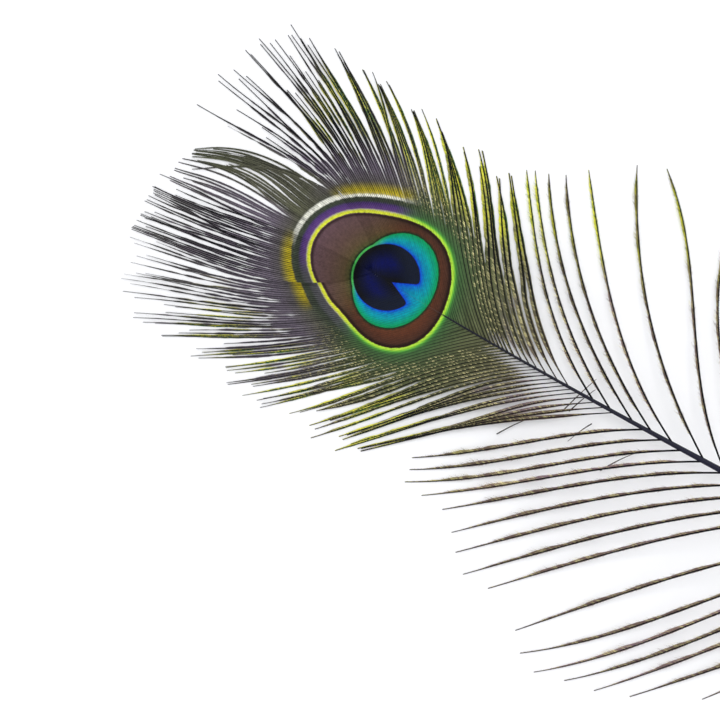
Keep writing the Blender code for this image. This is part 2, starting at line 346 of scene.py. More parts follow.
def loose_strand(barb, path, index, salt):
    """A barb that stands free of its neighbours."""
    side = np.sign(barb.tip_y)
    u = np.linspace(0.0, 1.0, len(path))
    z = height(barb.root, u, LOOSE_REST) + 0.15 * np.sin(9.0 * u + index) * u
    bare = smooth(0.02, 0.16, u)
    fade = 1.0 - 0.85 * smooth(0.92 if side > 0 else 0.74, 1.0, u)
    ragged = 1.0 + 0.16 * np.sin(41.0 * u + 3.0 * index) + 0.1 * np.sin(97.0 * u + index)
    full = 0.95 if side > 0 else 0.9 + 0.25 * smooth(0.3, 0.75, u)
    tipward = (0.15 + full * bare) * fade * ragged
    quillward = (0.06 + 0.34 * bare) * fade * ragged
    stem = LOOSE_STEM[0] - LOOSE_STEM[1] * u ** 1.5
    return make_strand(path, z, stem, tipward, quillward, side, scatter(index, salt + 5))


def broken_strand(start, end):
    """A short barb with hardly any barbules, from one point to another in a flat bow."""
    share = np.linspace(0.0, 1.0, BROKEN_STEPS + 1)
    points = np.array(start) + (np.array(end) - np.array(start)) * share[:, None]
    points[:, 1] += BROKEN_BOW * np.sin(math.pi * share)
    bare = BROKEN_REACH * (1.0 - 0.6 * share)
    stem = BROKEN_STEM[0] - BROKEN_STEM[1] * share
    return Strand(points, stem, bare, bare, 1, BROKEN_TONE,
                  np.linalg.norm(np.diff(points, axis=0), axis=1).sum())


groups = {"loose_left": [broken_strand(*ends) for ends in BROKEN]}
print("broken barbs:", len(groups["loose_left"]))

# %% [markdown]
# The barbs round the eye are gathered in seven parts of the vane, each a few locks long. The
# locks of the tip are packed closest. Two narrow locks fill what is left between tuft and fan
# and between tuft and left fringe. The loose barbs make one part for each side.

# %% Gather the barbs
# Distances between barbs in mm, by where they leave the shaft.
SPACING = {"right": ((-5, 8, 22, 37, 56), (0.48, 0.5, 0.66, 1.15, 1.9)),
           "left": ((-5, 13, 28, 47, 69), (0.54, 0.54, 0.74, 1.1, 1.35))}
SEAM_SPACING, SEAM_BUNDLED = 0.5, 0.3
# The last lock of each part of the vane, counted from the tip along one side.
PARTS = {"right": (("tuft", 2), ("fan", 5), ("base_right", 8), ("olive_right", 10)),
         "left": (("fringe_left", 3), ("base_left", 6), ("olive_left", 9))}
# How closely the barbs of a lock draw together toward their tips, lock by lock.
BUNDLED = {"right": (0.5, 0.3, 0.0, 0.25, 0.75, 0.92, 0.92, 0.9, 0.6, 0.5),
           "left": (0.3, 0.3, 0.35, 0.4, 0.45, 0.45, 0.5, 0.8, 0.85)}
CROWDED = {("right", 2): 1.4}
stands_for = {"shaft": ["shaft"]}
for side, name, runs in ((1, "right", RIGHT_LOCKS), (-1, "left", LEFT_LOCKS)):
    pairs = [pair for run in runs for pair in zip(run, run[1:])]
    for number, (first, second) in enumerate(pairs, 1):
        part = next(label for label, last in PARTS[name] if number <= last)
        spacing = np.interp((first.root + second.root) / 2, *SPACING[name])
        lock = Lock(first, second, side, spacing, BUNDLED[name][number - 1],
                    CROWDED.get((name, number), 0.0), False)
        groups.setdefault(part, []).extend(lock_strands(lock, number + 20 * (side < 0)))
        stands_for.setdefault(part, []).append(f"{name}_lock_{number:02d}")
tuft, fan = RIGHT_LOCKS
groups["fan"] += lock_strands(Lock(tuft[-1], fan[0], 1, SEAM_SPACING, 0.0, 0.0, True), 50)
seam = tuft[0]._replace(leave=-tuft[0].leave, arrive=-tuft[0].arrive)
groups["fringe_left"] += lock_strands(
    Lock(seam, LEFT_LOCKS[0][0], -1, SEAM_SPACING, SEAM_BUNDLED, 0.0, False), 51)
for name, front, guides, count, salt in (("right", RIGHT_FRONT, RIGHT_GUIDES, RIGHT_REAR, 1),
                                         ("left", LEFT_FRONT, LEFT_GUIDES, LEFT_REAR, 7)):
    strands = []
    for index, barb in enumerate(front + rear_barbs(guides, count, salt)):
        path = barb_path(barb, np.sign(barb.tip_y), np.linspace(0.01, 1.0, LOOSE_STEPS + 1))
        if index >= len(front):
            path = wander(path, index, salt + 3)
        strands.append(loose_strand(barb, path, index, salt))
        stands_for.setdefault("loose_" + name, []).append(f"{name}_barb_{index + 1:02d}")
    groups["loose_" + name] = strands + groups.get("loose_" + name, [])
for name, strands in groups.items():
    print(f"{name}: {len(strands)} barbs, {sum(s.length for s in strands) / 1000:.1f} m")

# %% [markdown]
# Geometry is gathered in a heap: vertices, triangles, and the values that the materials read,
# such as how far along its barb a vertex lies. Tens of thousands of slivers would take the
# edit tools many minutes, and arrays of numbers take a second.

# %% A heap of geometry
class Heap:
    """Vertices, triangles and values of the vertices, which grow part by part."""

    def __init__(self):
        self.points, self.triangles, self.values, self.count = [], [], [], 0

    def add(self, points, triangles, **values):
        self.points.append(points)
        self.triangles.append(triangles + self.count)
        self.values.append(values)
        self.count += len(points)

    def column(self, name):
        return np.concatenate([np.broadcast_to(np.asarray(v[name], float), len(p))
                               for v, p in zip(self.values, self.points)])


def quads(rows, columns, closed):
    """Triangles of a grid of rows x columns vertices."""
    r, c = np.meshgrid(np.arange(rows - 1), np.arange(columns if closed else columns - 1),
                       indexing="ij")
    a, b = r * columns + c, r * columns + (c + 1) % columns
    d, e = a + columns, b + columns
    return np.concatenate([np.stack([a, d, b], -1).reshape(-1, 3),
                           np.stack([b, d, e], -1).reshape(-1, 3)])


# %% [markdown]
# Each strand becomes three kinds of geometry. The stem is a thin tube. On a real barb the
# barbules hook into each other and close up; a flat strip on each side stands for that web,
# like a roof with the stem as its ridge, because slivers alone would leave pinholes. The
# slivers leave the stem at a slant toward the tip and make the ragged outline beyond the web.

# %% Stem, web and barbules
STEM_SIDES = 4
# Angles in radians; a barbule bends by CURL at the share BEND of its length.
SLANT, SLANT_SCATTER, CURL, BEND = math.radians(38), 0.12, 0.3, 0.55
# In mm: how far the web hangs under its stem, how much more where it is free, how thick a
# barbule is at most, and how low it may lie.
WEB_DROP, FREE_WEB_DROP, THICKEST, LOWEST = 0.03, 0.09, 0.2, 0.02


def level(flat):
    """Vectors (x, y) as vectors (x, y, 0)."""
    return np.column_stack([flat, np.zeros(len(flat))])


def add_stem(heap, strand, row):
    points, n = strand.points, len(strand.points)
    turn = 2.0 * np.pi * np.arange(STEM_SIDES) / STEM_SIDES
    ring = (level(left_of(points[:, :2]))[:, None, :] * np.cos(turn)[None, :, None]
            + np.array([0.0, 0.0, 1.0]) * np.sin(turn)[None, :, None])
    tube = points[:, None, :] + ring * strand.stem[:, None, None]
    along = np.repeat(np.linspace(0, 1, n), STEM_SIDES)
    heap.add(tube.reshape(-1, 3), quads(n, STEM_SIDES, True)[:, ::-1], horn=1.0, along=along,
             reach=0.0, fleck=0.5, tone=strand.tone, half=strand.side, row=row)


def add_web(heap, strand, share):
    """Flat strips that cover a share of the barbules' reach."""
    points, n = strand.points, len(strand.points)
    normal = level(left_of(points[:, :2]))
    outside = rim_distance(points[:, 0], points[:, 1])
    drop = np.zeros((n, 3))
    drop[:, 2] = -WEB_DROP - FREE_WEB_DROP * smooth(1.0, 6.0, outside)
    left = points + normal * (strand.side * strand.tipward * share)[:, None] + drop
    right = points - normal * (strand.side * strand.quillward * share)[:, None] + drop
    strip, fleck = np.stack([left, points, right], axis=1), [0.6, 0.35, 0.1]
    if strand.side > 0:
        strip, fleck = strip[:, ::-1], fleck[::-1]
    heap.add(strip.reshape(-1, 3), quads(n, 3, False), horn=0.0,
             along=np.repeat(np.linspace(0, 1, n), 3), reach=np.tile([1.0, 0.0, 1.0], n),
             fleck=np.tile(fleck, n), tone=strand.tone, half=strand.side, row=-1)


def add_barbules(heap, strand, per_mm, uneven, rng, begin):
    """Slivers on both sides of a strand beyond the share begin, each bent in the middle."""
    u = np.linspace(0.0, 1.0, len(strand.points))
    slope = np.gradient(strand.points, axis=0)
    count = int(strand.length * per_mm * (1.0 - begin))
    for sign, reach in ((strand.side, strand.tipward), (-strand.side, strand.quillward)):
        place = (np.arange(count) + rng.uniform(0, 1, count)) / count
        place = np.sort(begin + (1.0 - begin) * place)
        base, line = (np.stack([np.interp(place, u, way[:, k]) for k in range(3)], axis=1)
                      for way in (strand.points, slope))
        line /= np.linalg.norm(line, axis=1)[:, None]
        normal = np.column_stack([-line[:, 1], line[:, 0], np.zeros(count)]) * sign
        length = np.interp(place, u, reach) / math.sin(SLANT)
        length = length * rng.uniform(1.0 - uneven, 1.0 + 0.6 * uneven, count)
        angle = SLANT + rng.normal(0.0, SLANT_SCATTER, count)
        way, later = (line * np.cos(turn)[:, None] + normal * np.sin(turn)[:, None]
                      for turn in (angle, angle - CURL))
        thick = 0.5 * rng.uniform(0.7, 1.2, count)[:, None] * min(THICKEST, 1.0 / per_mm) * line
        lift = np.zeros((count, 3))
        lift[:, 2] = rng.uniform(-0.05, 0.08, count)
        middle = base + way * (BEND * length)[:, None] + 0.5 * lift
        tip = middle + later * ((1.0 - BEND) * length)[:, None] + 0.5 * lift
        points = np.stack([base - thick, base + thick, middle - 0.75 * thick,
                           middle + 0.75 * thick, tip], axis=1)
        points[..., 2] = np.maximum(points[..., 2], LOWEST)
        sliver = np.array([[0, 1, 2], [1, 3, 2], [2, 3, 4]])
        if sign < 0:
            sliver = sliver[:, ::-1]
        triangles = (sliver[None] + 5 * np.arange(count)[:, None, None]).reshape(-1, 3)
        fleck = np.repeat(rng.random(count // 3 + 1), 3)[:count]
        fleck = fleck if sign == strand.side else 0.5 * fleck
        heap.add(points.reshape(-1, 3), triangles, horn=0.0, along=np.repeat(place, 5),
                 reach=np.tile([0.0, 0.0, BEND, BEND, 1.0], count), fleck=np.repeat(fleck, 5),
                 tone=strand.tone, half=strand.side, row=-1)


# %% [markdown]
# All the strands of a group are joined to one mesh, which keeps the values on its vertices.
# The texture map is the view from above, with a narrow band kept free for the stems, one row
# for each.

# %% From a heap to an object
WEB_BAND, BAND_GAP = 0.86, 0.01


def to_object(name, heap):
    points = np.concatenate(heap.points) * MM + EYE
    triangles = np.concatenate(heap.triangles)
    mesh = bpy.data.meshes.new(name)
    mesh.vertices.add(len(points))
    mesh.vertices.foreach_set("co", points.astype(np.float32).ravel())
    mesh.loops.add(3 * len(triangles))
    mesh.loops.foreach_set("vertex_index", triangles.astype(np.int32).ravel())
    mesh.polygons.add(len(triangles))
    mesh.polygons.foreach_set("loop_start", np.arange(0, 3 * len(triangles), 3, dtype=np.int32))
    mesh.update(calc_edges=True)
    for key in ("horn", "along", "reach", "fleck", "tone", "half"):
        layer = mesh.attributes.new(key, "FLOAT", "POINT")
        layer.data.foreach_set("value", heap.column(key).astype(np.float32))
    low, high = points.min(axis=0), points.max(axis=0)
    flat = (points - low)[:, :2] / (high - low)[:2] * [1.0, WEB_BAND]
    row, along = heap.column("row"), heap.column("along")
    stem, height_of_row = row >= 0, (1.0 - BAND_GAP - WEB_BAND) / (row.max() + 1)
    flat[stem] = np.column_stack([along, WEB_BAND + BAND_GAP + height_of_row * (row + 0.5)])[stem]
    uv = mesh.uv_layers.new(name="OFBake")
    uv.data.foreach_set("uv", flat[triangles.ravel()].astype(np.float32).ravel())
    piece = bpy.data.objects.new(name, mesh)
    bpy.context.scene.collection.objects.link(piece)
    mesh.shade_smooth()
    print(f"{name}: {len(triangles)} triangles")
    return piece


def make_group(name, strands, web, per_mm, seed):
    """web is the share of the barbules' reach that the flat strips cover outside the eye. The
    less web there is, the more uneven the barbules are. They begin where the eye's marks end,
    because the web alone carries those."""
    heap, rng = Heap(), np.random.default_rng(seed)
    uneven = min(0.7, 1.1 * (1.0 - web) + 0.1)
    for row, strand in enumerate(strands):
        outside = rim_distance(strand.points[:, 0], strand.points[:, 1])
        add_stem(heap, strand, row)
        add_web(heap, strand, 1.0 - (1.0 - web) * smooth(8.0, 20.0, outside))
        marked = np.flatnonzero(outside < MARKS_END)
        begin = marked[-1] / len(outside) if len(marked) else 0.0
        add_barbules(heap, strand, per_mm, uneven, rng, begin)
    return to_object(name, heap)


MARKS_END, FIRST_SEED = 4.0, 11
# The name of each piece, how much of it is web, and how many barbules stand on a millimetre.
MADE = {
    "tuft": ("tuft_barbs", 0.85, 7.0), "fan": ("fan_barbs", 0.85, 7.0),
    "base_right": ("right_vane_base", 0.85, 9.0), "olive_right": ("olive_vane_right", 0.8, 12.0),
    "fringe_left": ("left_fringe_barbs", 0.85, 7.0), "base_left": ("left_vane_base", 0.85, 9.0),
    "olive_left": ("olive_vane_left", 0.85, 11.0),
    "loose_right": ("loose_barbs_right", 0.5, 12.0), "loose_left": ("loose_barbs_left", 0.6, 12.0),
}
pieces = {key: make_group(name, groups[key], web, per_mm, seed)
          for seed, (key, (name, web, per_mm)) in enumerate(MADE.items(), FIRST_SEED)}

# %% [markdown]
# The shaft is a horn rod, thick at the rounded quill and hair-thin by the eye. It could be a
# curve with a bevel. Here it is drawn out from a round at the quill's end, one short length at
# a time, because each length then gets its own height and thickness.

# %% The shaft
STATIONS = np.concatenate([[QUILL_END - 0.2, QUILL_END - 1.0],
                           np.linspace(QUILL_END - 3.0, SHAFT_TIP, 60)])
SHAFT_SIDES, START_RADIUS = 16, 0.35


def rod_radius(x):
    """The horn is a little slimmer than its solid where the barbs cover its sides."""
    return shaft_radius(x) * (0.5 + 0.32 * smooth(0.0, 110.0, x) + 0.16 * smooth(110.0, 200.0, x))


def shaft_point(x):
    return EYE + MM * np.array([x, shaft_y(x), rod_radius(x) + rise(x)])


bpy.ops.object.select_all(action="DESELECT")
start = shaft_point(QUILL_END)
bpy.ops.mesh.primitive_circle_add(vertices=SHAFT_SIDES, radius=START_RADIUS * MM,
                                  fill_type="NGON", location=start,
                                  rotation=(0.0, math.pi / 2, 0.0))
rod = bpy.context.object
rod.name = rod.data.name = "horn_shaft"
bpy.ops.object.transform_apply(location=True, rotation=True, scale=True)
bpy.ops.object.mode_set(mode="EDIT")
bpy.ops.mesh.select_all(action="SELECT")
before, size = start, START_RADIUS
for x in STATIONS:
    here, radius = shaft_point(x), float(rod_radius(x))
    bpy.ops.mesh.extrude_region_move(TRANSFORM_OT_translate={"value": tuple(here - before)})
    grow = radius / size
    bpy.ops.transform.resize(value=(grow, grow, grow), center_override=tuple(here))
    before, size = here, radius
bpy.ops.mesh.select_all(action="SELECT")
bpy.ops.mesh.normals_make_consistent(inside=False)
bpy.ops.object.mode_set(mode="OBJECT")
bpy.ops.object.shade_smooth_by_angle(angle=math.radians(50))
pieces["shaft"] = rod
print("shaft:", len(rod.data.polygons), "faces")

# %% [markdown]
# A barb is coloured by where on the feather it lies, so the colours are worked out from places.
# That takes many small nodes, and a few helpers keep the trees short to read.

# %% Node helpers
def paint(red, green, blue):
    """A screen colour, 0 to 255, as the linear colour that nodes use."""
    c = np.array([red, green, blue]) / 255.0
    c = np.where(c <= 0.04045, c / 12.92, ((c + 0.055) / 1.055) ** 2.4)
    return (*(float(v) for v in c), 1.0)


class Board:
    """A node tree with short calls for the few kinds of node used here."""

    def __init__(self, tree):
        self.tree = tree

    def wire(self, value, slot):
        if isinstance(value, bpy.types.NodeSocket):
            self.tree.links.new(value, slot)
        elif value is not None:
            slot.default_value = value

    def math(self, operation, a, b=None, c=None, clamp=False):
        node = self.tree.nodes.new("ShaderNodeMath")
        node.operation, node.use_clamp = operation, clamp
        for value, slot in zip((a, b, c), node.inputs):
            self.wire(value, slot)
        return node.outputs[0]

    def length(self, a, b):
        squares = self.math("ADD", self.math("MULTIPLY", a, a), self.math("MULTIPLY", b, b))
        return self.math("SQRT", squares)

    def ease(self, value, low, high):
        """0 below low, 1 above high; low may be the larger, for the reverse."""
        node = self.tree.nodes.new("ShaderNodeMapRange")
        node.interpolation_type = "SMOOTHSTEP"
        a, b = (0.0, 1.0) if low < high else (1.0, 0.0)
        for place, number in zip((1, 2, 3, 4), (min(low, high), max(low, high), a, b)):
            node.inputs[place].default_value = number
        self.wire(value, node.inputs[0])
        return node.outputs[0]

    def mix(self, share, first, second, blend="MIX"):
        node = self.tree.nodes.new("ShaderNodeMix")
        node.data_type, node.blend_type, node.clamp_factor = "RGBA", blend, True
        self.wire(share, node.inputs[0])
        self.wire(first, node.inputs[6])
        self.wire(second, node.inputs[7])
        return node.outputs[2]

    def ramp(self, value, stops):
        """Colour stops (value, colour) over any range of values."""
        low, high = stops[0][0], stops[-1][0]
        share = self.math("DIVIDE", self.math("SUBTRACT", value, low), high - low, clamp=True)
        node = self.tree.nodes.new("ShaderNodeValToRGB")
        points = node.color_ramp.elements
        for index, (place, colour) in enumerate(stops):
            spot = points[index] if index < 2 else points.new((place - low) / (high - low))
            spot.position = (place - low) / (high - low)
            spot.color = paint(*colour)
        self.wire(share, node.inputs[0])
        return node.outputs[0]

    def noise(self, vector, scale, detail=2.0):
        node = self.tree.nodes.new("ShaderNodeTexNoise")
        node.inputs["Scale"].default_value = scale
        node.inputs["Detail"].default_value = detail
        self.wire(vector, node.inputs["Vector"])
        return node.outputs["Fac"]

    def value(self, name):
        node = self.tree.nodes.new("ShaderNodeAttribute")
        node.attribute_name = name
        return node.outputs["Fac"]

    def place(self):
        return self.tree.nodes.new("ShaderNodeTexCoord").outputs["Object"]

    def use(self, tree):
        node = self.tree.nodes.new("ShaderNodeGroup")
        node.node_tree = tree
        return node

    def relief(self, height, strength, shader):
        """Fine bumps on a shader's surface."""
        node = self.tree.nodes.new("ShaderNodeBump")
        node.inputs["Strength"].default_value = strength
        node.inputs["Distance"].default_value = 0.2 * MM
        self.wire(height, node.inputs["Height"])
        self.wire(node.outputs[0], shader.inputs["Normal"])

    def apart(self, vector):
        node = self.tree.nodes.new("ShaderNodeSeparateXYZ")
        self.wire(vector, node.inputs[0])
        return node.outputs


def group(name, inputs, outputs):
    """A node group with named sockets: its board, and its inputs and outputs."""
    tree = bpy.data.node_groups.new(name, "ShaderNodeTree")
    for label, kind in inputs:
        tree.interface.new_socket(label, in_out="INPUT", socket_type=kind)
    for label, kind in outputs:
        tree.interface.new_socket(label, in_out="OUTPUT", socket_type=kind)
    given, asked = tree.nodes.new("NodeGroupInput"), tree.nodes.new("NodeGroupOutput")
    return Board(tree), given.outputs, asked.inputs


# %% [markdown]
# The marks of the eye are curves round its middle. The rim is the egg that the strands know.
# The blue-green ring is an oval, and the pupil a circle with a notch on the side of the quill.
# The two halves of the vane have slipped past each other a little, so the left half's rim is
# set back where the halves meet. Four directions tell where coloured patches lie. Formulas are
# used and not a painted picture, because they stay sharp from as close as one likes.

# %% The marks of the eye
FLOAT, COLOUR, VECTOR = "NodeSocketFloat", "NodeSocketColor", "NodeSocketVector"
RING_CENTRE, RING_AXES, RING_SIZE = (1.5, 0.7), (10.6, 12.8), 11.3
PUPIL_CENTRE, PUPIL_RADIUS, GREEN_EDGE = (-0.9, 0.3), 8.7, 0.5
NOTCH_TIP, NOTCH_SLOPE, NOTCH_DEPTH, NOTCH_SOFTNESS = (1.0, -0.15), 0.46, 0.9, 1.6
SLIP = 1.1
PATCHES = {"Upper": 142.0, "Gold above": 124.0, "Gold below": 208.0, "Violet": 150.0}

board, given, asked = group("eye marks", [("Place", VECTOR), ("Half", FLOAT)],
                            [(label, FLOAT) for label in ("X", "Y", "Rim", "Ring", "Pupil",
                                                          "Tip side", *PATCHES)])
m = board.math
px, py, _ = board.apart(given["Place"])
x = m("DIVIDE", m("SUBTRACT", px, float(EYE[0])), MM)
y = m("DIVIDE", m("SUBTRACT", py, float(EYE[1])), MM)
dx = m("SUBTRACT", x, RIM_CENTRE)
r = m("SQRT", m("ADD", m("MULTIPLY", dx, dx), m("ADD", m("MULTIPLY", y, y), 0.001)))
c, s = m("DIVIDE", dx, r), m("DIVIDE", y, r)
c2 = m("SUBTRACT", m("MULTIPLY", c, c), m("MULTIPLY", s, s))
s2 = m("MULTIPLY", m("MULTIPLY", c, s), 2.0)
c3 = m("SUBTRACT", m("MULTIPLY", c2, c), m("MULTIPLY", s2, s))
s3 = m("ADD", m("MULTIPLY", s2, c), m("MULTIPLY", c2, s))
rim = RIM_RADIUS
for cosine, sine, (a, b) in zip((c, c2, c3), (s, s2, s3), RIM_WAVES):
    rim = m("MULTIPLY_ADD", sine, b, m("MULTIPLY_ADD", cosine, a, rim))
slip = m("MULTIPLY", board.ease(given["Half"], 1.0, -1.0), board.ease(c, -0.55, -0.9))
slip = m("MULTIPLY", slip, SLIP)
board.wire(m("SUBTRACT", r, m("SUBTRACT", rim, slip)), asked["Rim"])
disc = board.length(m("SUBTRACT", x, PUPIL_CENTRE[0]), m("SUBTRACT", y, PUPIL_CENTRE[1]))
disc = m("SUBTRACT", disc, PUPIL_RADIUS)
nx, ny = m("SUBTRACT", x, NOTCH_TIP[0]), m("ABSOLUTE", m("SUBTRACT", y, NOTCH_TIP[1]))
notch = m("MULTIPLY", m("SUBTRACT", m("MULTIPLY", nx, NOTCH_SLOPE), ny), NOTCH_DEPTH)
board.wire(m("SMOOTH_MAX", disc, notch, NOTCH_SOFTNESS), asked["Pupil"])
oval = board.length(*(m("DIVIDE", m("SUBTRACT", value, middle), axis)
                      for value, middle, axis in zip((x, y), RING_CENTRE, RING_AXES)))
oval = m("MULTIPLY", m("SUBTRACT", oval, 1.0), RING_SIZE)
board.wire(m("MINIMUM", oval, m("SUBTRACT", disc, GREEN_EDGE)), asked["Ring"])
board.wire(m("MULTIPLY", c, -1.0), asked["Tip side"])
for label, degrees in PATCHES.items():
    a = math.radians(degrees)
    board.wire(m("MULTIPLY_ADD", c, math.cos(a), m("MULTIPLY", s, math.sin(a))), asked[label])
board.wire(x, asked["X"])
board.wire(y, asked["Y"])
eye_marks = board.tree
print("eye marks:", len(eye_marks.nodes), "nodes")

# %% [markdown]
# From the marks come the colours of the plumage, first those inside the rim: a bronze disc,
# the blue-green ring that is greener at its outside, and the navy pupil. A fine grain lets the
# edges wobble from barbule to barbule.

# %% Colours inside the rim
board, given, asked = group("plumage colour",
                            [("Place", VECTOR), ("Half", FLOAT), ("Along", FLOAT), ("Horn", FLOAT),
                             ("Reach", FLOAT), ("Fleck", FLOAT), ("Tone", FLOAT)],
                            [("Colour", COLOUR), ("Shine", FLOAT)])
m = board.math
marks = board.use(eye_marks)
board.wire(given["Place"], marks.inputs["Place"])
board.wire(given["Half"], marks.inputs["Half"])
x, y = marks.outputs["X"], marks.outputs["Y"]
rim, ring, pupil, tipside = (marks.outputs[k] for k in ("Rim", "Ring", "Pupil", "Tip side"))
cloud = board.noise(given["Place"], 120.0)
grain = board.noise(given["Place"], 1500.0, 3.0)
wobble = m("MULTIPLY", m("SUBTRACT", grain, 0.5), 0.5)

tip_disc = board.ramp(m("ADD", ring, wobble),
                      [(0.0, (66, 74, 34)), (2.0, (88, 72, 48)), (5.5, (88, 66, 60)),
                       (11.0, (92, 68, 75))])
base_disc = board.ramp(m("ADD", rim, wobble),
                       [(-9.0, (98, 60, 36)), (-4.0, (88, 48, 30)), (-1.2, (62, 38, 28))])
bronze = board.mix(board.ease(tipside, 0.0, 0.8), base_disc, tip_disc)
bronze = board.mix(board.ease(m("ADD", ring, wobble), 0.8, 0.1), bronze, paint(20, 40, 22))

band = m("DIVIDE", pupil, m("MAXIMUM", m("SUBTRACT", pupil, ring), 0.05), clamp=True)
glow = board.ramp(m("ADD", band, m("MULTIPLY", wobble, 0.3)),
                  [(0.0, (4, 58, 200)), (0.11, (2, 104, 186)), (0.26, (0, 132, 166)),
                   (0.48, (0, 148, 160)), (0.72, (0, 150, 124)), (1.0, (4, 144, 80))])
glow = board.mix(board.ease(tipside, 0.35, 0.85), glow, paint(74, 178, 84))
ring_edge = board.ease(m("ADD", ring, m("MULTIPLY", wobble, 0.6)), 0.15, -0.15)
inside = board.mix(ring_edge, bronze, glow)
navy = board.ramp(m("ADD", pupil, m("MULTIPLY", wobble, 0.5)),
                  [(-8.0, (0, 10, 104)), (-5.0, (0, 8, 84)), (-2.4, (0, 6, 44)),
                   (-0.8, (1, 3, 12))])
lobes = board.mix(board.ease(m("ADD", x, m("ABSOLUTE", y)), 2.0, 8.0), navy, paint(12, 20, 38))
inside = board.mix(board.ease(pupil, 0.12, -0.12), inside, lobes)
dark_edge = board.ramp(rim, [(-1.6, (255, 255, 255)), (-0.85, (120, 104, 92)),
                             (-0.5, (255, 255, 255))])
inside = board.mix(1.0, inside, dark_edge, "MULTIPLY")
print("inside the rim:", len(board.tree.nodes), "nodes")

# %% [markdown]
# Outside the rim the colours fade from green by the quill to violet grey at the tip. A violet
# band, a bare white arc and two gilt patches lie close to the rim on the side of the tip.

# %% Colours outside the rim
depth = m("ADD", rim, wobble)
tip_bands = board.ramp(depth, [(0.0, (206, 212, 58)), (0.3, (196, 200, 52)),
                               (0.52, (176, 172, 136)), (0.85, (92, 62, 120)),
                               (2.2, (76, 50, 112)), (2.8, (56, 62, 54)), (4.0, (66, 74, 58)),
                               (6.5, (92, 90, 80)), (11.0, (110, 101, 114)),
                               (20.0, (114, 106, 118)), (32.0, (98, 94, 96)),
                               (44.0, (84, 84, 78))])
faded = m("MULTIPLY", board.ease(marks.outputs["Violet"], 0.8, 0.5),
          m("MULTIPLY", board.ease(depth, 0.4, 0.8), board.ease(depth, 3.2, 2.4)))
tip_bands = board.mix(m("MULTIPLY", faded, 0.85), tip_bands, paint(74, 78, 70))
bare = m("MULTIPLY", board.ease(marks.outputs["Upper"], 0.62, 0.9),
         m("MULTIPLY", board.ease(depth, 3.7, 4.2), board.ease(depth, 5.6, 5.0)))
tip_bands = board.mix(bare, tip_bands, paint(240, 240, 228))
gilt = m("MAXIMUM", board.ease(marks.outputs["Gold above"], 0.86, 0.97),
         board.ease(marks.outputs["Gold below"], 0.89, 0.98))
gilt = m("MULTIPLY", gilt, m("MULTIPLY", board.ease(depth, 4.4, 5.0), board.ease(depth, 8.4, 5.2)))
tip_bands = board.mix(gilt, tip_bands, paint(190, 172, 34))
base_bands = board.ramp(depth, [(0.0, (168, 212, 62)), (0.25, (120, 196, 60)), (0.6, (70, 136, 56)),
                                (1.4, (58, 92, 52)), (4.0, (72, 88, 56)), (8.0, (86, 92, 62)),
                                (20.0, (98, 94, 70)), (36.0, (118, 98, 88)), (90.0, (132, 110, 102))])
toward_tip = board.ease(m("MULTIPLY_ADD", wobble, 0.2, tipside), -0.15, 0.4)
around = board.mix(toward_tip, base_bands, tip_bands)
colour = board.mix(board.ease(m("MULTIPLY_ADD", wobble, 0.6, rim), -0.5, -0.34), inside, around)
print("with the surroundings:", len(board.tree.nodes), "nodes")

# %% [markdown]
# Some things depend on the barb as well. Gold glints show where barbules catch the light, the
# ends of barbs beside the shaft are yellow green, and stems are dark. The value called tone
# makes one barb a little lighter than the next.

# %% Glints, barb ends and stems
far = board.ease(rim, 1.5, 6.0)
sparkle = board.ease(given["Fleck"], 0.6, 0.75)
glint = m("MULTIPLY", sparkle, m("MULTIPLY", far, board.ease(tipside, 0.5, 0.0)))
colour = board.mix(m("MULTIPLY", glint, 0.95), colour, paint(232, 222, 160))
left = board.ease(y, 0.0, -1.0)
ends = m("MULTIPLY", board.ease(given["Along"], 0.5, 0.8),
         m("MULTIPLY", m("MULTIPLY", board.ease(x, -46.0, -34.0),
                         board.ease(m("MULTIPLY_ADD", left, 36.0, x), 84.0, 60.0)),
           board.ease(m("ABSOLUTE", y), 18.0, 26.0)))
lit = m("MULTIPLY_ADD", given["Tone"], 0.3, m("MULTIPLY_ADD", left, -0.28, cloud))
ends = m("MULTIPLY", ends, board.ease(lit, 0.1, 0.4))
end_colour = board.mix(board.ease(given["Fleck"], 0.3, 0.45), paint(62, 104, 44),
                       paint(216, 214, 74))
colour = board.mix(ends, colour, end_colour)
violet = m("MULTIPLY", board.ease(rim, 10.0, 20.0),
           board.ease(m("MULTIPLY_ADD", given["Tone"], 0.12, cloud), 0.5, 0.72))
colour = board.mix(m("MULTIPLY", violet, 0.35), colour, paint(122, 102, 128))
tuft_olive = m("MULTIPLY", m("MULTIPLY", board.ease(y, 1.0, 4.0), board.ease(y, 14.8, 13.8)),
               board.ease(x, -25.0, -31.0))
colour = board.mix(m("MULTIPLY", tuft_olive, 0.75), colour, paint(92, 96, 64))
near_stem = m("MULTIPLY", board.ease(given["Reach"], 0.5, 0.0), board.ease(rim, 4.0, 8.5))
colour = board.mix(m("MULTIPLY", near_stem, 0.62), colour, paint(24, 26, 22))
dark = board.mix(board.ease(rim, 0.0, 3.0), board.mix(0.18, colour, paint(8, 8, 10)),
                 board.mix(m("MULTIPLY", bare, 0.7), paint(12, 13, 16), paint(150, 148, 130)))
colour = board.mix(given["Horn"], colour, dark)
shade = m("MULTIPLY_ADD", m("SUBTRACT", grain, 0.5), 0.8,
          m("MULTIPLY_ADD", m("MULTIPLY", given["Tone"], m("ADD", far, 0.25)), 0.24, 1.0))
scale_by = board.tree.nodes.new("ShaderNodeCombineColor")
for slot in scale_by.inputs:
    board.wire(shade, slot)
colour = board.mix(1.0, colour, scale_by.outputs[0], "MULTIPLY")
board.wire(colour, asked["Colour"])
board.wire(m("MULTIPLY_ADD", grain, 0.25, 0.3), asked["Shine"])
plumage = board.tree
